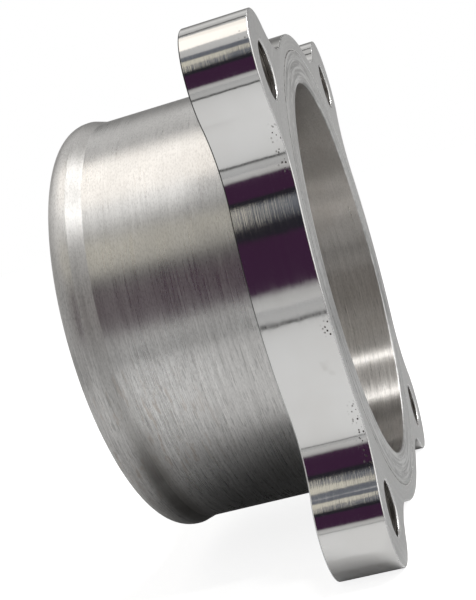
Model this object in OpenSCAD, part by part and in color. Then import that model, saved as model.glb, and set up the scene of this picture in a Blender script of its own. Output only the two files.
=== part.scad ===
// Flanged hose adapter for an engine air intake.
// A thick aluminium flange with four ears bolts to the intake, and a beaded
// tube through it takes a hose. The part is drawn with its bore axis upright
// and the mating face at height 0, then laid down so that the face looks
// along +X and the hose end along -X. The origin is the centre of the face.

/* [Hose spigot] */
// Outside diameter of the tube that the hose slides over
spigot_d = 88.9; // [80:0.1:98]
// Wall of the tube, between the air passage and the hose
wall_t = 3.95; // [2:0.05:6]
// Length from the mating face to the hose end
overall_l = 50.8; // [40:0.1:80]
// Length of the bead, from the foot of its ramp to the hose end
bead_l = 8.2; // [7.5:0.1:12]
// Length of the ramp that stops the hose clamp sliding off
ramp_l = 3.0; // [1:0.1:3.4]
// Height of the bead above the tube
bead_rise = 0.9; // [0.3:0.1:2]
// Radius of the rounded nose at the hose end
nose_r = 4.6; // [1:0.1:4.8]
// Bevel round the mouth of the bore, at the mating face
mouth_bevel = 0.4; // [0.2:0.1:1]

/* [Flange] */
// Thickness of the flange plate
flange_t = 12.7; // [8:0.1:25]
// Width of the rim between the tube and the outline, away from the ears
rim_w = 6.35; // [5:0.05:9]
// Distance between neighbouring bolt holes, which lie on a square
hole_spacing = 82.5; // [79:0.1:92]
// Radius of the ear round each bolt hole
ear_r = 11.1; // [9:0.1:14]
// Radius of the hollow curve between an ear and the ring
blend_r = 15.5; // [6:0.1:20]
// Diameter of each bolt hole
hole_d = 10.6; // [6:0.1:13]
// Bevel at both ends of each bolt hole
hole_bevel = 0.35; // [0.1:0.05:1]
// Bevel round the outline of the flange, at both faces
edge_bevel = 0.25; // [0.1:0.05:1]

/* [Joint between the tube and the flange] */
// Radial gap between the tube and the hole that it passes through
fit_gap = 0.05; // [0.02:0.01:0.15]
// Leg of the groove weld, which is faced off flush with the mating face
weld_leg = 3; // [1.5:0.1:4.5]

/* [Hidden] */
$fn = 180;

// Overlap that makes a cut run clean past a face
past = 1;

spigot_r = spigot_d / 2;
bore_r = spigot_r - wall_t;
bead_r = spigot_r + bead_rise;
ring_r = spigot_r + rim_w;
seat_r = spigot_r + fit_gap;
weld_r = spigot_r + weld_leg;

// The nose may be no rounder than the wall that carries it
lip_flat = 0.15;
nose = min(nose_r, wall_t + bead_rise - lip_flat);

// Ears stand on the corners of a square, ear_reach from the bore axis
half_pitch = hole_spacing / 2;
ear_reach = half_pitch * sqrt(2);

// A blend curve bites this far into the ring and the ear, so that they cross cleanly
blend_bite = 0.005;

// Centre of a blend curve, in the frame of one ear that points along +X,
// from its distances to the bore axis and to the middle of the ear
to_ring = ring_r + blend_r - blend_bite;
to_ear = ear_r + blend_r - blend_bite;
blend_x = (ear_reach * ear_reach + to_ring * to_ring - to_ear * to_ear) / (2 * ear_reach);
blend_y = sqrt(to_ring * to_ring - blend_x * blend_x);

// Radius at which the web of an ear starts, inside the ring
web_root = (seat_r + ring_r) / 2;

// Lays a piece drawn with its axis upright down along +X. The eighth of a turn
// first brings the ears from the drawing's X and Y to the corners of an upright square
module lay_down() {
    rotate([0, 90, 0]) rotate([0, 0, 45]) children();
}

// Puts a copy at each ear, with that ear along the copy's own +X
module at_ears() {
    for (turn = [0 : 90 : 270]) rotate([0, 0, turn]) children();
}

// Upright disc from the back to the front of the plate, with both rims bevelled
module bevelled_disc(r) {
    translate([0, 0, -flange_t]) cylinder(h = edge_bevel, r1 = r - edge_bevel, r2 = r);
    translate([0, 0, edge_bevel - flange_t]) cylinder(h = flange_t - 2 * edge_bevel, r = r);
    translate([0, 0, -edge_bevel]) cylinder(h = edge_bevel, r1 = r, r2 = r - edge_bevel);
}

// Cutter for a round hole or hollow through the plate, flared by a bevel at both faces
module flared_cutter(r, bevel) {
    flare = past + bevel;
    translate([0, 0, -flange_t - past]) cylinder(h = flange_t + 2 * past, r = r);
    translate([0, 0, -flange_t - past]) cylinder(h = flare, r1 = r + flare, r2 = r);
    translate([0, 0, -bevel]) cylinder(h = flare, r1 = r, r2 = r + flare);
}

// Web that joins one ear to the ring, hollowed by a blend curve on each side.
// Its root lies inside the ring, on the lines from the bore axis to the two centres
module ear_web() {
    root = web_root / to_ring;
    difference() {
        translate([0, 0, -flange_t]) linear_extrude(height = flange_t)
            polygon([
                [root * blend_x, -root * blend_y],
                [blend_x, -blend_y],
                [ear_reach, 0],
                [blend_x, blend_y],
                [root * blend_x, root * blend_y]
            ]);
        for (side = [-1, 1])
            translate([blend_x, side * blend_y, 0]) flared_cutter(blend_r, edge_bevel);
    }
}

// Plate with four ears, its bolt holes and the seat for the tube
module mounting_flange() {
    color([0.80, 0.80, 0.81]) lay_down() difference() {
        union() {
            bevelled_disc(ring_r);
            at_ears() translate([ear_reach, 0, 0]) bevelled_disc(ear_r);
            at_ears() ear_web();
        }
        at_ears() translate([ear_reach, 0, 0]) flared_cutter(hole_d / 2, hole_bevel);
        translate([0, 0, -flange_t - past]) cylinder(h = flange_t + 2 * past, r = seat_r);
        translate([0, 0, -weld_leg]) cylinder(h = weld_leg + past, r1 = seat_r - fit_gap, r2 = weld_r + past);
    }
}

// Half section of the tube: bore side at the left, hose end at the bottom
module spigot_section() {
    difference() {
        union() {
            translate([bore_r, -overall_l + bead_l]) square([spigot_r - bore_r, overall_l - bead_l]);
            polygon([
                [bore_r, -overall_l + nose],
                [bead_r, -overall_l + nose],
                [bead_r, -overall_l + bead_l - ramp_l],
                [spigot_r, -overall_l + bead_l],
                [bore_r, -overall_l + bead_l]
            ]);
            translate([bore_r, -overall_l]) square([bead_r - nose - bore_r, nose]);
            intersection() {
                translate([bead_r - nose, nose - overall_l]) circle(r = nose);
                translate([bead_r - nose, -overall_l]) square(nose);
            }
        }
        polygon([[bore_r, -mouth_bevel], [bore_r + mouth_bevel, 0], [bore_r, past], [bore_r - past, 0]]);
    }
}

// Turned tube with a hose bead, its front end flush with the mating face
module hose_spigot() {
    color([0.70, 0.69, 0.67]) lay_down() rotate_extrude() spigot_section();
}

// Weld metal in the groove round the tube, faced off with the plate
module face_weld() {
    color([0.62, 0.63, 0.63]) lay_down() rotate_extrude()
        polygon([[spigot_r, -weld_leg], [spigot_r, 0], [weld_r, 0]]);
}

mounting_flange();
hose_spigot();
face_weld();
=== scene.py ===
import math

import bpy
import numpy as np
from mathutils import Matrix, Vector
from mathutils.geometry import delaunay_2d_cdt


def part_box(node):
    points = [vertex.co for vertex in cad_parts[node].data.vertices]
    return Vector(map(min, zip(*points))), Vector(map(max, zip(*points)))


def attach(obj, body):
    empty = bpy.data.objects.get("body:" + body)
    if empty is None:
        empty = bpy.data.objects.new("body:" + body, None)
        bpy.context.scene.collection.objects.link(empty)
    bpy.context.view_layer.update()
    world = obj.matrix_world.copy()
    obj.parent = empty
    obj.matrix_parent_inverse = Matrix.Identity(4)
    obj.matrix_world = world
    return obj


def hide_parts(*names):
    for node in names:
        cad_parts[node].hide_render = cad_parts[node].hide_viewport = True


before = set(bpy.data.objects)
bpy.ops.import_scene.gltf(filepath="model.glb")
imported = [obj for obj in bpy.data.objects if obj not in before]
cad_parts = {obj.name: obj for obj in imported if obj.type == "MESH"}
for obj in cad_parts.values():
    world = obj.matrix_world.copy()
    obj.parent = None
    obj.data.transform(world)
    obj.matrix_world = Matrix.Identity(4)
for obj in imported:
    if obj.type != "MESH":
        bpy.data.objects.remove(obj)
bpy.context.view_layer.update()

MM = 0.001

# Sizes, in millimetres, as the part's source has them
TUBE_R = 44.45
WALL = 3.95
BORE_R = TUBE_R - WALL
LENGTH = 50.8
BEAD_LENGTH = 8.2
FOOT = BEAD_LENGTH - LENGTH
RAMP = 3.0
BEAD_RISE = 0.9
NOSE_R = 4.6
MOUTH = 0.4
THICK = 12.7
RING_R = 50.8
HALF_PITCH = 41.25
EAR_R = 11.1
BLEND_R = 15.5
HOLE_R = 5.3
HOLE_EDGE = 0.35
EDGE = 0.25
SEAT_R = 44.5
WELD_R = 47.45
WELD_DEPTH = 3.0

# Fine shapes that only the scene has, in millimetres. Round the weld: the seam's round-over, the depth where it
# ends, how far inside WELD_R the slopes of groove and weld start there, and the steps at the ends of the seat
SEAM = 0.2
SEAM_END = 0.4
GROOVE_INSET = 0.25
WELD_INSET = 0.3
STEP = 0.2
# On the tube: the inner lip of the hose end, the bead's shoulder, the ramp's foot and the corner at the face
LIP_R = 0.25
SHOULDER_R = 0.9
FOOT_R = 0.25
CORNER = 0.05
# The gap that keeps the weld off its neighbours, and either share of a normal that leans halfway
HAIR = 0.01
HALFWAY = 0.7

# Rows of faces along the flange's outline, its holes and the tube, and points round each circle
WALL_ROWS = 9
HOLE_ROWS = 6
TUBE_ROWS = 24
TUBE_POINTS = 360
SEAT_POINTS = 240
HOLE_POINTS = 72

# Camera, in millimetres of the row frame
CAMERA_AT = (31.44, -249.18, 21.87)
CAMERA_AIM = (-0.1844, 0.9738, -0.1330)
CAMERA_UP = (0.2481, 0.1771, 0.9524)
FOCAL_PX = 1170.2
LONG_SIDE_PX = 600
SENSOR = 36.0
SHIFT = (-0.1033, 0.0667)
NEAR_CLIP, FAR_CLIP = 0.01, 50


def arc(centre, radius, start, end, step=0.45):
    """Points on an arc, about a step apart, without its last one."""
    count = max(6, int(abs(end - start) * radius / step))
    return [(centre[0] + radius * math.cos(start + (end - start) * k / count),
             centre[1] + radius * math.sin(start + (end - start) * k / count))
            for k in range(count)]


def outline():
    """The flange's outline as points and outward normals in (y, z), anticlockwise seen from the front."""
    reach = HALF_PITCH * math.sqrt(2)
    to_ring, to_ear = RING_R + BLEND_R, EAR_R + BLEND_R
    bx = (reach ** 2 + to_ring ** 2 - to_ear ** 2) / (2 * reach)
    by = math.sqrt(to_ring ** 2 - bx ** 2)
    off = math.atan2(by, bx)
    lean = math.atan2(by, bx - reach)
    low, high, ear = (bx, -by), (bx, by), (reach, 0.0)
    # ring, blend, ear and blend, each with its centre and the side that its normals look to
    arcs = [(arc((0, 0), RING_R, off - math.pi / 2, -off), (0, 0), 1),
            (arc(low, BLEND_R, math.pi - off, math.pi - lean), low, -1),
            (arc(ear, EAR_R, -lean, lean), ear, 1),
            (arc(high, BLEND_R, lean + math.pi, off + math.pi), high, -1)]
    pts, normals = [], []
    for k in range(4):
        turn = math.radians(45 + 90 * k)
        c, s = math.cos(turn), math.sin(turn)
        for points, centre, sign in arcs:
            for x, y in points:
                nx, ny = sign * (x - centre[0]), sign * (y - centre[1])
                d = math.hypot(nx, ny)
                pts.append((c * x - s * y, s * x + c * y))
                normals.append(((c * nx - s * ny) / d, (s * nx + c * ny) / d))
    return pts, normals


class Shell:
    """Vertices with their own normals, and faces with a material each."""

    def __init__(self):
        self.verts, self.normals, self.faces, self.mats = [], [], [], []

    def vert(self, at, normal):
        self.verts.append(at)
        self.normals.append(normal)
        return len(self.verts) - 1

    def face(self, corners, mat):
        self.faces.append(corners)
        self.mats.append(mat)

    def bridge(self, first, second, mat):
        """Joins two loops of as many vertices."""
        n = len(first)
        for i in range(n):
            j = (i + 1) % n
            self.face((first[i], first[j], second[j], second[i]), mat)

    def flat(self, loops, x, mat):
        """Fills the plane at x between closed loops of vertices that are already there."""
        index, edges = [], []
        for loop in loops:
            at, n = len(index), len(loop)
            edges += [(at + i, at + (i + 1) % n) for i in range(n)]
            index += loop
        points = [Vector(self.verts[i][1:]) for i in index]
        co, _, tris, source, _, _ = delaunay_2d_cdt(points, edges, [], 0, 1e-7)
        where = [index[s[0]] for s in source]
        start = np.array([points[a] for a, _ in edges])
        end = np.array([points[b] for _, b in edges])
        rise = np.where(end[:, 1] == start[:, 1], 1e-12, end[:, 1] - start[:, 1])
        for t in tris:
            a, b, c = (co[i] for i in t)
            mid = (a + b + c) / 3
            spans = (start[:, 1] > mid.y) != (end[:, 1] > mid.y)
            crossing = start[:, 0] + (end[:, 0] - start[:, 0]) * (mid.y - start[:, 1]) / rise
            if np.count_nonzero(spans & (mid.x < crossing)) % 2:
                corners = [where[i] for i in t]
                if ((b - a).cross(c - a) > 0) != (x > -THICK / 2):
                    corners.reverse()
                self.face(tuple(corners), mat)

    def build(self, name, materials):
        mesh = bpy.data.meshes.new(name)
        mesh.from_pydata([(x * MM, y * MM, z * MM) for x, y, z in self.verts], [], self.faces)
        for m in materials:
            mesh.materials.append(bpy.data.materials[m])
        mesh.polygons.foreach_set("material_index", [materials.index(m) for m in self.mats])
        mesh.polygons.foreach_set("use_smooth", [True] * len(mesh.polygons))
        mesh.update()
        mesh.normals_split_custom_set_from_vertices(self.normals)
        return place(bpy.data.objects.new(name, mesh))


def place(thing):
    bpy.context.scene.collection.objects.link(thing)
    return thing


def sweep(angle, steps, first=0):
    """Even angles from 0 to angle."""
    return [angle * k / steps for k in range(first, steps + 1)]


def quarter(radius, steps=4):
    """A round-over as (inward, down, flat share, side share), from the flat to the side."""
    return [(radius * (1 - math.sin(a)), radius * (1 - math.cos(a)), math.cos(a), math.sin(a))
            for a in sweep(math.pi / 2, steps)]


def ring(shell, radius, x, normal, count, centre=(0, 0)):
    """A circle of vertices; normal is (along x, outward)."""
    found = []
    for k in range(count):
        a = 2 * math.pi * k / count
        c, s = math.cos(a), math.sin(a)
        found.append(shell.vert((x, centre[0] + radius * c, centre[1] + radius * s),
                                (normal[0], normal[1] * c, normal[1] * s)))
    return found


def make_flange():
    s = Shell()
    pts, normals = outline()
    rim = quarter(EDGE)
    stations = [(-i, -d, f, e) for i, d, f, e in rim]
    stations += [(0, -EDGE - (THICK - 2 * EDGE) * k / WALL_ROWS, 0, 1) for k in range(1, WALL_ROWS)]
    stations += [(-i, d - THICK, -f, e) for i, d, f, e in reversed(rim)]
    loops = []
    for inward, x, f, e in stations:
        loops.append([s.vert((x, p[0] + n[0] * inward, p[1] + n[1] * inward), (f, n[0] * e, n[1] * e))
                      for p, n in zip(pts, normals)])
    last = len(stations) - 1
    for k in range(last):
        front, rear = k < len(rim) - 1, k >= last - len(rim) + 1
        s.bridge(loops[k + 1], loops[k], "edge_bright" if front else "edge_rear" if rear else "wall_polished")
    fronts, backs = [loops[0]], [loops[-1]]

    # Four bolt holes, with rounded edges
    lip = quarter(HOLE_EDGE)
    steps = [(HOLE_R + i, -d, f, -e) for i, d, f, e in lip]
    steps += [(HOLE_R, -HOLE_EDGE - (THICK - 2 * HOLE_EDGE) * k / HOLE_ROWS, 0, -1) for k in range(1, HOLE_ROWS)]
    steps += [(HOLE_R + i, d - THICK, -f, -e) for i, d, f, e in reversed(lip)]
    for centre in [(a * HALF_PITCH, b * HALF_PITCH) for a in (-1, 1) for b in (-1, 1)]:
        walls = [ring(s, r, x, (f, e), HOLE_POINTS, centre) for r, x, f, e in steps]
        for k in range(len(walls) - 1):
            edge = k < len(lip) - 1 or k >= len(walls) - len(lip)
            s.bridge(walls[k], walls[k + 1], "edge_bright" if edge else "hole_drilled")
        fronts.append(walls[0])
        backs.append(walls[-1])

    # The seat for the tube, with the groove that the weld fills
    slope = math.hypot(WELD_DEPTH, WELD_R - SEAT_R)
    tilt = ((WELD_R - SEAT_R) / slope, -WELD_DEPTH / slope)
    steps = [(WELD_R + i, -d, f, -e, "edge_bright") for i, d, f, e in quarter(SEAM, 3)]
    steps += [(WELD_R - GROOVE_INSET, -SEAM_END, tilt[0], tilt[1], "groove_dark"),
              (SEAT_R, -WELD_DEPTH, tilt[0], tilt[1], "groove_dark"),
              (SEAT_R, -WELD_DEPTH - STEP, 0, -1, "groove_dark"),
              (SEAT_R, -THICK + STEP, 0, -1, "edge_bright"),
              (SEAT_R + STEP, -THICK, -1, 0, None)]
    walls = [ring(s, r, x, (f, e), SEAT_POINTS) for r, x, f, e, _ in steps]
    for k in range(len(walls) - 1):
        s.bridge(walls[k], walls[k + 1], steps[k][4])
    fronts.append(walls[0])
    backs.append(walls[-1])

    s.flat(fronts, 0, "face_satin")
    s.flat(backs, -THICK, "back_turned")
    return s.build("flange_body", ["face_satin", "wall_polished", "edge_bright", "edge_rear", "hole_drilled",
                                   "groove_dark", "back_turned"])


def revolve(name, profile, materials):
    """A body turned round X from a closed profile of (radius, x, x share, radius share, material to the next)."""
    s = Shell()
    rings = [ring(s, r, x, (f, e), TUBE_POINTS) for r, x, f, e, _ in profile]
    n = len(rings)
    for k in range(n):
        s.bridge(rings[k], rings[(k + 1) % n], profile[k][4])
    return s.build(name, materials)


def make_tube():
    # The bore, from the mouth's round-over to the hose end
    rows = [(BORE_R + i, -d, f, -e, "face_swirled") for i, d, f, e in quarter(MOUTH, 5)][:-1]
    bore = LENGTH - MOUTH - LIP_R
    rows += [(BORE_R, -MOUTH - bore * k / TUBE_ROWS, 0, -1, "bore_brushed") for k in range(TUBE_ROWS + 1)]
    # The inner lip of the hose end, and the rounded nose up to the bead's crown
    rows += [(BORE_R + LIP_R * (1 - math.cos(a)), -LENGTH + LIP_R * (1 - math.sin(a)),
              -math.sin(a), -math.cos(a), "nose_brushed") for a in sweep(math.pi / 2, 5, 1)]
    crown_r = TUBE_R + BEAD_RISE
    rows += [(crown_r - NOSE_R + NOSE_R * math.sin(a), -LENGTH + NOSE_R - NOSE_R * math.cos(a),
              -math.cos(a), math.sin(a), "nose_brushed") for a in sweep(math.pi / 2, 16, 1)]
    # The crown, a soft shoulder and the ramp
    angle = math.atan2(BEAD_RISE, RAMP)
    crown = FOOT - RAMP - SHOULDER_R * math.tan(angle / 2)
    rows.append((crown_r, crown, 0, 1, "nose_brushed"))
    rows += [(crown_r - SHOULDER_R * (1 - math.cos(a)), crown + SHOULDER_R * math.sin(a),
              math.sin(a), math.cos(a), "ramp_brushed") for a in sweep(angle, 5, 1)]
    # The ramp's crisp foot, and the tube up to the mating face
    body = FOOT + FOOT_R * math.tan(angle / 2)
    rows += [(TUBE_R + FOOT_R * (1 - math.cos(a)), body - FOOT_R * math.sin(a),
              math.sin(a), math.cos(a), "tube_brushed") for a in reversed(sweep(angle, 4))]
    rows += [(TUBE_R, body - (body + CORNER) * k / TUBE_ROWS, 0, 1, "tube_brushed")
             for k in range(1, TUBE_ROWS + 1)]
    rows.append((TUBE_R - CORNER, 0, 1, 0, "face_swirled"))
    return revolve("spigot_tube", rows, ["tube_brushed", "nose_brushed", "ramp_brushed", "bore_brushed",
                                         "face_swirled"])


def make_weld():
    inner = TUBE_R + HAIR
    rows = [(WELD_R - i, -d - HAIR, f, e, "groove_dark") for i, d, f, e in reversed(quarter(SEAM, 3))]
    rows[-1] = rows[-1][:4] + ("face_swirled",)
    rows += [(inner, -HAIR, 1, 0, "groove_dark"),
             (inner, -WELD_DEPTH, 0, -1, "groove_dark"),
             (inner + 2 * HAIR, -WELD_DEPTH, -HALFWAY, HALFWAY, "groove_dark"),
             (WELD_R - WELD_INSET, -SEAM_END, -HALFWAY, HALFWAY, "groove_dark")]
    return revolve("weld_ring", rows, ["face_swirled", "groove_dark"])


class Nodes:
    """Short calls for a material's nodes."""

    def __init__(self, name):
        self.mat = bpy.data.materials.new(name)
        self.mat.use_nodes = True
        self.tree = self.mat.node_tree
        self.tree.nodes.clear()
        self.out = self.add("ShaderNodeOutputMaterial")
        self.coords = self.add("ShaderNodeTexCoord").outputs["Object"]

    def add(self, kind, inputs=(), **props):
        node = self.tree.nodes.new(kind)
        for key, value in props.items():
            setattr(node, key, value)
        for key, value in dict(inputs).items():
            self.set(node.inputs[key], value)
        return node

    def set(self, socket, value):
        if isinstance(value, bpy.types.NodeSocket):
            self.tree.links.new(value, socket)
        else:
            socket.default_value = value

    def math(self, operation, a, b=0.0):
        return self.add("ShaderNodeMath", {0: a, 1: b}, operation=operation).outputs[0]

    def plus(self, a, b):
        return self.math("ADD", a, b)

    def minus(self, a, b):
        return self.math("SUBTRACT", a, b)

    def times(self, a, b):
        return self.math("MULTIPLY", a, b)

    def range(self, value, low, high, to_low=0.0, to_high=1.0, smooth=False):
        inputs = {"Value": value, "From Min": low, "From Max": high, "To Min": to_low, "To Max": to_high}
        kind = "SMOOTHSTEP" if smooth else "LINEAR"
        return self.add("ShaderNodeMapRange", inputs, interpolation_type=kind, clamp=True).outputs["Result"]

    def axes(self):
        parts = self.add("ShaderNodeSeparateXYZ", {"Vector": self.coords})
        return [parts.outputs[k] for k in "XYZ"]

    def turned(self):
        """(distance from the X axis, y, z), for marks that run round that axis."""
        _, y, z = self.axes()
        r = self.math("SQRT", self.plus(self.times(y, y), self.times(z, z)))
        return self.add("ShaderNodeCombineXYZ", {"X": r, "Y": y, "Z": z}).outputs[0]

    def distance(self, point):
        """Distance from a point that is given in millimetres."""
        return self.add("ShaderNodeVectorMath", {0: self.coords, 1: [c * MM for c in point]},
                        operation="DISTANCE").outputs["Value"]

    def scaled(self, scale, at=None):
        vector = self.coords if at is None else at
        return self.add("ShaderNodeMapping", {"Vector": vector, "Scale": scale}).outputs["Vector"]

    def noise(self, scale, detail=2.0, rough=0.5, at=None, distortion=0.0):
        """Noise with a scale for each axis, in features to the metre, or one scale for all."""
        scale = scale if isinstance(scale, tuple) else (scale,) * 3
        return self.add("ShaderNodeTexNoise", {"Vector": self.scaled(scale, at), "Scale": 1.0, "Detail": detail,
                                               "Roughness": rough, "Distortion": distortion}).outputs["Fac"]

    def mix(self, share, a, b):
        return self.add("ShaderNodeMix", {0: share, 6: a, 7: b}, data_type="RGBA").outputs[2]

    def bump(self, height, strength, distance, normal=None):
        inputs = {"Height": height, "Strength": strength, "Distance": distance}
        if normal is not None:
            inputs["Normal"] = normal
        return self.add("ShaderNodeBump", inputs).outputs["Normal"]

    def metal(self, colour, roughness, normal, anisotropic=0.0):
        """A metal surface; an anisotropic one is brushed round the X axis."""
        shader = self.add("ShaderNodeBsdfPrincipled", {"Base Color": colour, "Metallic": 1.0, "Normal": normal,
                                                       "Roughness": roughness, "Anisotropic": anisotropic})
        if anisotropic:
            shader.inputs["Anisotropic Rotation"].default_value = 0.25
            round_x = self.add("ShaderNodeTangent", direction_type="RADIAL", axis="X")
            self.set(shader.inputs["Tangent"], round_x.outputs[0])
        self.set(self.out.inputs["Surface"], shader.outputs[0])


def grey(v, warm=0.0):
    return (v * (1 + warm), v, v * (1 - warm), 1.0)


# Middle of the stained and scored area beside the bead, in millimetres
STAINED = (-43.0, -41.0, -18.0)
STAIN = (0.50, 0.42, 0.36, 1)
# Where pits cluster on the flange's outline: (middle, reach), in millimetres
PITTED = [((-1.2, -45.2, 27.5), 6.0), ((-0.8, -50.6, -4.5), 1.8), ((-0.8, -46.2, -24.0), 6.0)]


def brushed(name, base, rough, strength, dirt=0.25, anisotropic=0.8, warm=0.01, grain=1.0, foot=False):
    """Metal brushed round the X axis: lines that are short along X and long round it."""
    n = Nodes(name)
    x, _, z = n.axes()
    fine = n.noise((4200, 150, 150), 3, 0.6)
    wide = n.noise((2300, 60, 60), 3, 0.65)
    speck = n.noise((4200, 1500, 1500), 2, 0.65)
    patch = n.noise(60, 4, 0.55)
    lines = n.plus(n.times(fine, 0.4), n.times(wide, 0.6))
    worn = n.range(patch, 0.45, 0.62, 0, 1, True)
    low_end = n.range(n.distance(STAINED), 0.022, 0.006, 0, 1, True)

    # Lines, specks and worn patches; the lines are deeper low down
    depth = n.range(z, 0.018, -0.010, 0.10 * grain, 0.32 * grain, True)
    tone = n.mix(n.times(n.range(lines, 0.62, 0.36), depth), grey(base * 1.04, warm), grey(0.0))
    tone = n.mix(n.range(speck, 0.56, 0.30, 0, 0.44 * grain), tone, grey(base * 0.50, warm * 2))
    tone = n.mix(n.times(worn, dirt), tone, grey(base * 0.72, warm * 2))

    # Scratches where the metal is worn or stained, short flecks, and stains
    scores = n.range(n.noise((3000, 100, 100), 2, 0.5), 0.64, 0.70, 0, 0.5 * grain, True)
    scores = n.times(scores, n.math("MAXIMUM", n.range(worn, 0, 1, 0.2, 1), low_end))
    scores = n.times(scores, n.range(z, 0.012, -0.010, 0.15, 1, True))
    tone = n.mix(scores, tone, grey(base * 0.35, warm * 3))
    flecks = n.range(n.noise((4600, 330, 330), 2, 0.5), 0.59, 0.65, 0, 0.42 * grain, True)
    tone = n.mix(n.times(flecks, n.range(z, 0.012, -0.012, 0.20, 1, True)), tone, grey(base * 0.32))
    stains = n.range(n.noise((1100, 200, 200), 3, 0.6), 0.56, 0.64, 0, 0.45, True)
    tone = n.mix(n.times(stains, low_end), tone, STAIN)

    # Painted shade: a dark band over the bead's ramp and beside it, darker low down
    if foot:
        at = FOOT * MM
        foot_shade = n.times(n.range(x, at + 0.0034, at + 0.0001, 0, 1, True),
                       n.range(x, at - 0.0030, at - 0.0014, 0, 1, True))
        foot_shade = n.times(foot_shade, n.range(z, 0.000, -0.030, 0.05, 0.92, True))
        tone = n.mix(n.times(foot_shade, n.range(patch, 0.3, 0.6, 0.6, 1)), tone, grey(base * 0.32, 0.04))

    roughness = n.plus(n.range(lines, 0.3, 0.7, rough - 0.05, rough + 0.06), n.range(patch, 0.4, 0.7, 0, 0.05))
    height = n.plus(lines, n.times(speck, 0.5))
    n.metal(tone, roughness, n.bump(height, strength, 0.00003), anisotropic)


def make_polished():
    """The milled outline: nearly a mirror, with fine lines round it, and pits by the front edge."""
    n = Nodes("wall_polished")
    x, _, _ = n.axes()
    lines = n.noise((3300, 45, 45), 4, 0.65)
    sway = n.noise((260, 160, 160), 2, 0.5)
    haze = n.noise(90, 3, 0.5)
    smears = n.range(n.noise(110, 3, 0.6), 0.64, 0.72, 0, 0.35, True)
    cells = n.add("ShaderNodeTexVoronoi", {"Vector": n.scaled((1700, 1400, 1400)), "Scale": 1.0})
    pitted = n.range(n.noise((200, 75, 75), 1, 0.5), 0.62, 0.68, 0, 1, True)
    for centre, reach in PITTED:
        inside = n.range(n.distance(centre), reach * MM, reach * MM * 0.6, 0, 1, True)
        pitted = n.math("MAXIMUM", pitted, inside)
    near_edge = n.range(x, -0.0024, -0.0011)
    pit = n.times(n.range(cells.outputs["Distance"], 0.24, 0.33, 1, 0, True), n.times(near_edge, pitted))
    tone = n.mix(n.range(haze, 0.35, 0.7), grey(0.96), grey(0.90, 0.01))
    tone = n.mix(smears, tone, grey(0.62, 0.03))
    tone = n.mix(pit, tone, grey(0.10, 0.1))
    rough = n.plus(n.range(lines, 0.3, 0.7, 0.05, 0.12), n.times(pit, 0.4))
    n.metal(tone, rough, n.bump(lines, 0.35, 0.00004, n.bump(sway, 0.25, 0.00012)))


def make_faces():
    """The faced front and the turned back: satin, with a fine even grain and faint turned rings."""
    for name, base, ring_share in (("face_satin", 0.69, 0.45), ("back_turned", 0.74, 0.8)):
        n = Nodes(name)
        rings = n.noise((2200, 25, 25), 3, 0.65, at=n.turned())
        grain = n.noise(1900, 3, 0.65)
        patch = n.noise(120, 3, 0.5)
        height = n.plus(n.times(rings, ring_share), n.times(grain, 1 - ring_share))
        tone = n.mix(n.range(height, 0.36, 0.64), grey(base * 0.76), grey(base * 1.13))
        tone = n.mix(n.range(patch, 0.5, 0.75, 0, 0.4), tone, grey(base * 0.85))
        n.metal(tone, n.range(height, 0.3, 0.7, 0.30, 0.44), n.bump(height, 0.4, 0.00002))

    # The faced end of the tube and the weld round it: swirled cutter marks
    n = Nodes("face_swirled")
    swirl = n.noise((1700, 70, 70), 3, 0.6, at=n.turned(), distortion=0.3)
    blot = n.noise(900, 3, 0.6)
    height = n.plus(n.times(swirl, 0.72), n.times(blot, 0.28))
    tone = n.mix(n.range(height, 0.42, 0.58), grey(0.43), grey(0.78))
    n.metal(tone, n.range(height, 0.3, 0.7, 0.26, 0.44), n.bump(height, 0.5, 0.00004))


def make_edges():
    """The broken edges, the drilled holes, and the seam round the weld."""
    # Broken edges, which catch the light
    n = Nodes("edge_bright")
    nick = n.noise(900, 3, 0.6)
    tone = n.mix(n.range(nick, 0.6, 0.7, 0, 0.6, True), grey(0.93), grey(0.6))
    n.metal(tone, n.range(nick, 0.4, 0.7, 0.16, 0.35), n.bump(nick, 0.3, 0.00002))

    # The flange's rear edge: painted shade on its top half, fading by height to the edges' bright metal below
    n = Nodes("edge_rear")
    z = n.axes()[2]
    nick = n.noise(900, 3, 0.6)
    tone = n.mix(n.range(n.plus(z, n.times(nick, 0.01)), -0.012, 0.012), grey(0.93), grey(0.10))
    n.metal(tone, n.range(z, -0.012, 0.012, 0.6, 0.25), n.bump(nick, 0.3, 0.00002))

    # Drilled holes, with the drill's rings
    n = Nodes("hole_drilled")
    rings = n.noise((3000, 120, 120), 2, 0.6)
    tone = n.mix(n.range(rings, 0.35, 0.65), grey(0.30, 0.06), grey(0.50, 0.05))
    n.metal(tone, n.range(rings, 0.3, 0.7, 0.2, 0.38), n.bump(rings, 0.5, 0.00004))

    # The seam between the weld and the flange
    n = Nodes("groove_dark")
    spots = n.noise(700, 3, 0.6)
    tone = n.mix(n.range(spots, 0.4, 0.6), grey(0.22, 0.03), grey(0.5, 0.02))
    n.metal(tone, n.range(spots, 0.4, 0.6, 0.25, 0.45), n.bump(spots, 0.3, 0.00002))


def make_materials():
    brushed("tube_brushed", 0.91, 0.28, 0.28, warm=0.008, foot=True)
    brushed("nose_brushed", 0.86, 0.35, 0.30, anisotropic=0.75, grain=1.1)
    brushed("ramp_brushed", 0.77, 0.41, 0.30, dirt=0.2, anisotropic=0.7, foot=True)
    brushed("bore_brushed", 0.62, 0.30, 0.25, dirt=0.4, anisotropic=1.0, warm=0.035, grain=0.8)
    make_polished()
    make_faces()
    make_edges()


FLOOR_SIZE = 12.0
# Light that the floor gives the camera on top of what the lamps give it, so that it reads as white
FLOOR_GLOW = 0.83
# The floor that reflections see: (from, to, tone at from, tone at to), by metres from the part
TABLE_END = (0.300, 0.312, 0.56, 0.05)
BEYOND = ((0.338, 0.385, 0.0, 0.45), (0.40, 0.95, 0.0, 0.25))
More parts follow.
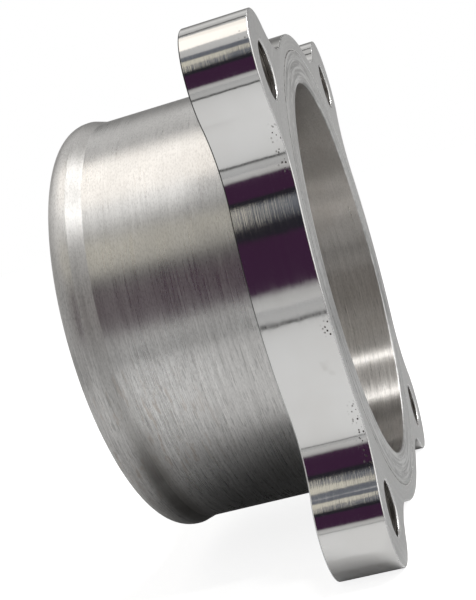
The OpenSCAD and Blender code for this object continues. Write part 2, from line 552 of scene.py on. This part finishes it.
# Its shaded patch below the part: middle and half lengths, in metres, the shares of the half lengths between which
# it fades, and where it starts behind the mating face
SHADE_X, SHADE_LONG, SHADE_WIDE = -0.010, 0.068, 0.065
SHADE_FADE = (0.38, 1.02)
SHADE_START = (-0.011, -0.021)
# It is darker in front of the mating face
TABLE_FRONT = (-0.004, 0.004, 1, 0.70)


def make_floor():
    floor_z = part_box("mounting_flange")[0].z
    bpy.ops.mesh.primitive_plane_add(size=FLOOR_SIZE, location=(0, 0, floor_z))
    floor = bpy.context.object
    floor.name = "floor"
    n = Nodes("floor_pale")
    x, y, _ = n.axes()
    plain = n.add("ShaderNodeBsdfDiffuse", {"Color": (0.5, 0.5, 0.5, 1)}).outputs[0]
    glow = n.add("ShaderNodeEmission", {"Color": (1, 1, 1, 1), "Strength": FLOOR_GLOW}).outputs[0]
    seen = n.add("ShaderNodeAddShader", {0: plain, 1: glow}).outputs[0]

    away = n.add("ShaderNodeVectorMath", {"Vector": n.coords}, operation="LENGTH").outputs["Value"]
    beyond = n.plus(n.range(away, *BEYOND[0]), n.range(away, *BEYOND[1]))
    across = n.math("DIVIDE", n.minus(x, SHADE_X), SHADE_LONG)
    along = n.math("DIVIDE", y, SHADE_WIDE)
    near = n.math("SQRT", n.plus(n.times(across, across), n.times(along, along)))
    shaded = n.times(n.range(near, *SHADE_FADE, 1, 0, True), n.range(x, *SHADE_START, 0, 1, True))
    tone = n.times(n.plus(n.range(away, *TABLE_END), beyond), n.minus(1.0, shaded))
    tone = n.times(tone, n.range(x, *TABLE_FRONT))
    colour = n.add("ShaderNodeCombineColor", {0: tone, 1: tone, 2: tone}).outputs[0]
    mirrored = n.add("ShaderNodeBsdfDiffuse", {"Color": colour}).outputs[0]

    glossy = n.add("ShaderNodeLightPath").outputs["Is Glossy Ray"]
    both = n.add("ShaderNodeMixShader", {0: glossy, 1: seen, 2: mirrored}).outputs[0]
    n.set(n.out.inputs["Surface"], both)
    floor.data.materials.append(n.mat)


def shade(v):
    return (v, v * 0.99, v * 0.97)


# What the polished metal sees round it: tones of plain cards and walls, by elevation in degrees
PLUM, BLACK, BROWN = (.037, .014, .036), (.016, .015, .02), (.12, .105, .09)
SLATE, WARM = (.115, .122, .14), (.54, .51, .43)
ROOM_NEAR = [(-12, shade(.46)), (-2, shade(.46)), (2, shade(.38)), (5, PLUM), (26, PLUM), (28, BLACK),
             (32, BLACK), (38, SLATE), (58, SLATE), (60, shade(.46)), (80, shade(.56))]
ROOM_SIDE_WALL = [(-12, shade(.44)), (2, shade(.30)), (6, BROWN), (24, BROWN), (36, shade(.30)),
                  (63, shade(.42)), (80, shade(.52))]
ROOM_HOSE_SIDE = [(-12, shade(.48)), (0, shade(.44)), (6, shade(.36)), (16, shade(.30)), (26, shade(.38)),
                  (36, shade(.64)), (52, shade(.80)), (80, shade(.58))]
ROOM_FACE_SIDE = [(-12, shade(.60)), (-6, shade(.96)), (50, shade(1.0)), (56, shade(.40)), (63, shade(.85)),
                  (73, shade(.85)), (80, shade(.58))]
ROOM_FAR = [(-12, shade(.52)), (0, shade(.50)), (14, shade(.34)), (20, shade(.20)), (28, shade(.16)),
            (35, shade(.33)), (46, shade(.64)), (58, shade(.46)), (60.8, shade(.46)), (61.3, shade(.03)),
            (64.2, shade(.03)), (64.7, shade(.46)), (78, shade(.46)), (86, shade(.56))]
# Where the walls change into each other, in degrees of azimuth from the near side (-Y) towards the hose end (-X).
# The near wall ends as far to both sides of its middle, and the far wall starts as far to both sides of the near side
NEAR_MIDDLE = 12
NEAR_ENDS = (12, 20)
HOSE_SIDE_STARTS = (34, 52)
FACE_SIDE_STARTS = (-48, -40)
FAR_STARTS = (118, 135)
# A cream card on the near wall, in degrees: azimuths of its right-hand edge below and above the step in it
# and of its left edge, then elevations of its bottom, step and top
WARM_CARD = (16.2, 11.2, 62, 32, 43, 50.5)
ROOM_R = 1.0
ROOM_TOP = 89.9
ROOM_BANDS, ROOM_SIDES = 48, 96


def ramp(n, value, stops):
    """The colours of stops, placed by their first number."""
    low, high = stops[0][0], stops[-1][0]
    node = n.add("ShaderNodeValToRGB", {"Fac": n.range(value, low, high)})
    marks = node.color_ramp.elements
    while len(marks) < len(stops):
        marks.new(0.5)
    for mark, (at, rgb) in zip(marks, stops):
        mark.position = (at - low) / (high - low)
        mark.color = (*rgb, 1)
    return node.outputs[0]


def room_tone(n):
    """The room's colour by azimuth from the near side (-Y) towards the hose end (-X), and by elevation."""
    x, y, z = n.axes()
    degrees = 180 / math.pi
    elevation = n.times(n.math("ARCSINE", n.math("DIVIDE", z, ROOM_R)), degrees)
    azimuth = n.times(n.math("ARCTAN2", n.times(x, -1), n.times(y, -1)), degrees)
    to_side = n.range(n.math("ABSOLUTE", n.minus(azimuth, NEAR_MIDDLE)), *NEAR_ENDS, 0, 1, True)
    to_hose = n.range(azimuth, *HOSE_SIDE_STARTS, 0, 1, True)
    to_face = n.range(azimuth, *FACE_SIDE_STARTS, 1, 0, True)
    to_far = n.range(n.math("ABSOLUTE", azimuth), *FAR_STARTS, 0, 1, True)
    tone = ramp(n, elevation, ROOM_NEAR)
    for share, wall in ((to_side, ROOM_SIDE_WALL), (to_hose, ROOM_HOSE_SIDE), (to_face, ROOM_FACE_SIDE),
                        (to_far, ROOM_FAR)):
        tone = n.mix(share, tone, ramp(n, elevation, wall))

    right_low, right_high, left, bottom, step, top = WARM_CARD
    inside = n.minus(azimuth, n.range(elevation, step - 2, step + 2, right_low, right_high))
    card = n.times(n.range(inside, -0.4, 0.4), n.range(azimuth, left - 6, left + 6, 1, 0))
    height = n.times(n.range(elevation, bottom - 1, bottom + 2), n.range(elevation, top - 0.5, top + 0.5, 1, 0))
    return n.mix(n.times(card, height), tone, (*WARM, 1))


def make_room():
    """A round studio wall that only the metal's reflections see."""
    low, high = math.radians(ROOM_NEAR[0][0]), math.radians(ROOM_TOP)
    verts, faces = [], []
    for i in range(ROOM_BANDS + 1):
        e = low + (high - low) * i / ROOM_BANDS
        for k in range(ROOM_SIDES):
            a = 2 * math.pi * k / ROOM_SIDES
            verts.append((ROOM_R * math.cos(e) * math.cos(a), ROOM_R * math.cos(e) * math.sin(a),
                          ROOM_R * math.sin(e)))
    for i in range(ROOM_BANDS):
        for k in range(ROOM_SIDES):
            j = (k + 1) % ROOM_SIDES
            below, above = i * ROOM_SIDES, (i + 1) * ROOM_SIDES
            faces.append((below + k, below + j, above + j, above + k))
    mesh = bpy.data.meshes.new("room")
    mesh.from_pydata(verts, [], faces)
    n = Nodes("room_tones")
    light = n.add("ShaderNodeEmission", {"Color": room_tone(n), "Strength": 1.0}).outputs[0]
    n.set(n.out.inputs["Surface"], light)
    mesh.materials.append(n.mat)
    room = place(bpy.data.objects.new("room", mesh))
    room.visible_camera = room.visible_diffuse = room.visible_shadow = False


WORLD_LIGHT = 0.35


def make_world():
    """Plain soft light, and white for what the camera, reflections and glass see of it."""
    world = bpy.data.worlds.new("studio")
    bpy.context.scene.world = world
    world.use_nodes = True
    nodes, links = world.node_tree.nodes, world.node_tree.links
    nodes.clear()
    rays = nodes.new("ShaderNodeLightPath").outputs
    seen = rays["Is Camera Ray"]
    for other in ("Is Glossy Ray", "Is Transmission Ray"):
        either = nodes.new("ShaderNodeMath")
        either.operation = "MAXIMUM"
        links.new(seen, either.inputs[0])
        links.new(rays[other], either.inputs[1])
        seen = either.outputs[0]
    mix = nodes.new("ShaderNodeMixShader")
    links.new(seen, mix.inputs[0])
    for socket, strength in ((1, WORLD_LIGHT), (2, 1.0)):
        sky = nodes.new("ShaderNodeBackground")
        sky.inputs["Color"].default_value = (1, 1, 1, 1)
        sky.inputs["Strength"].default_value = strength
        links.new(sky.outputs[0], mix.inputs[socket])
    links.new(mix.outputs[0], nodes.new("ShaderNodeOutputWorld").inputs["Surface"])


CREAM_LIGHT, WHITE_LIGHT = (1.0, 0.90, 0.77), (1.0, 1.0, 0.985)
# A softbox overhead towards the hose side, two strips by the open side with a dim card between them, and a
# key that only lights the floor: name, watts, size and place in metres, colour
LAMPS = (("softbox", 0.282, (0.42, 0.40), (-0.24, 0.008, 0.70), CREAM_LIGHT),
         ("strip_near", 0.70, (0.10, 0.045), (0.19, -0.26, 0.69), WHITE_LIGHT),
         ("strip_far", 1.75, (0.42, 0.045), (0.35, 0.145, 0.69), WHITE_LIGHT),
         ("between", 0.16, (0.42, 0.28), (0.35, -0.065, 0.69), WHITE_LIGHT),
         ("key", 3.2, (0.40, 0.40), (0.45, 0.05, 0.50), WHITE_LIGHT))


def make_lamps():
    for name, energy, size, at, colour in LAMPS:
        data = bpy.data.lights.new(name, "AREA")
        data.shape = "RECTANGLE"
        data.size, data.size_y = size
        data.energy = energy
        data.color = colour
        lamp = place(bpy.data.objects.new(name, data))
        lamp.location = at
        # the key looks at the part and isn't mirrored in it, and the others look straight down
        if name == "key":
            lamp.rotation_euler = (-Vector(at)).to_track_quat("-Z", "Y").to_euler()
            lamp.visible_glossy = False


def make_camera():
    data = bpy.data.cameras.new("camera")
    data.sensor_fit = "AUTO"
    data.sensor_width = SENSOR
    data.lens = FOCAL_PX * SENSOR / LONG_SIDE_PX
    data.shift_x, data.shift_y = SHIFT
    data.clip_start, data.clip_end = NEAR_CLIP, FAR_CLIP
    camera = place(bpy.data.objects.new("camera", data))
    back = -Vector(CAMERA_AIM).normalized()
    right = Vector(CAMERA_UP).cross(back).normalized()
    turned = Matrix((right, back.cross(right), back)).transposed().to_4x4()
    camera.matrix_world = Matrix.Translation(Vector(CAMERA_AT) * MM) @ turned
    bpy.context.scene.camera = camera


make_camera()
make_materials()
for piece, node, slot in ((make_flange(), "mounting_flange", "machined_flange"),
                          (make_tube(), "hose_spigot", "brushed_tube"),
                          (make_weld(), "face_weld", "faced_weld")):
    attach(piece, "root")
    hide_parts(node)
make_floor()
make_room()
make_world()
make_lamps()
bpy.context.scene.view_settings.view_transform = "Standard"
